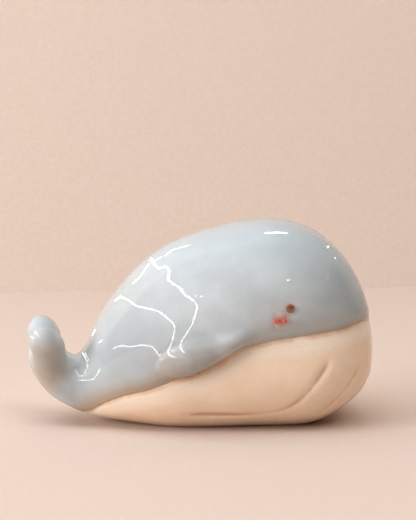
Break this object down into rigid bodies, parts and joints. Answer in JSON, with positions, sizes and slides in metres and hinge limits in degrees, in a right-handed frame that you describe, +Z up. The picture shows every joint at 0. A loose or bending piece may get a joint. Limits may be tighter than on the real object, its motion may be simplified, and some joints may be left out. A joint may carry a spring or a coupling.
{
  "type": "whale figurine",
  "caption": "Glazed ceramic whale ornament: round blue back with a curled tail, cream grooved belly on a flat foot, flippers, bead eyes and pink cheeks.",
  "frame": {"origin": "on the flat foot, under the middle of the whale's length, in its plane of symmetry", "axes": "+X towards the snout, +Z up, +Y to the whale's left"},
  "size_m": [0.1004, 0.057, 0.0585],
  "materials": {
    "blue_glaze": "glossy grey-blue glaze",
    "cream_glaze": "satin cream glaze",
    "brown_enamel": "glossy brown enamel",
    "pink_enamel": "soft pink enamel under the glaze",
    "red_enamel": "glossy red enamel"
  },
  "bodies": {
    "root": {"back_shell": "blue_glaze", "belly_shell": "cream_glaze", "tail": "blue_glaze", "left_fluke": "blue_glaze", "right_fluke": "blue_glaze", "left_flipper": "blue_glaze", "right_flipper": "blue_glaze", "left_eye": "brown_enamel", "right_eye": "brown_enamel", "left_cheek_patch": "pink_enamel", "right_cheek_patch": "pink_enamel", "left_cheek_beads": "red_enamel", "right_cheek_beads": "red_enamel"}
  },
  "joints": []
}
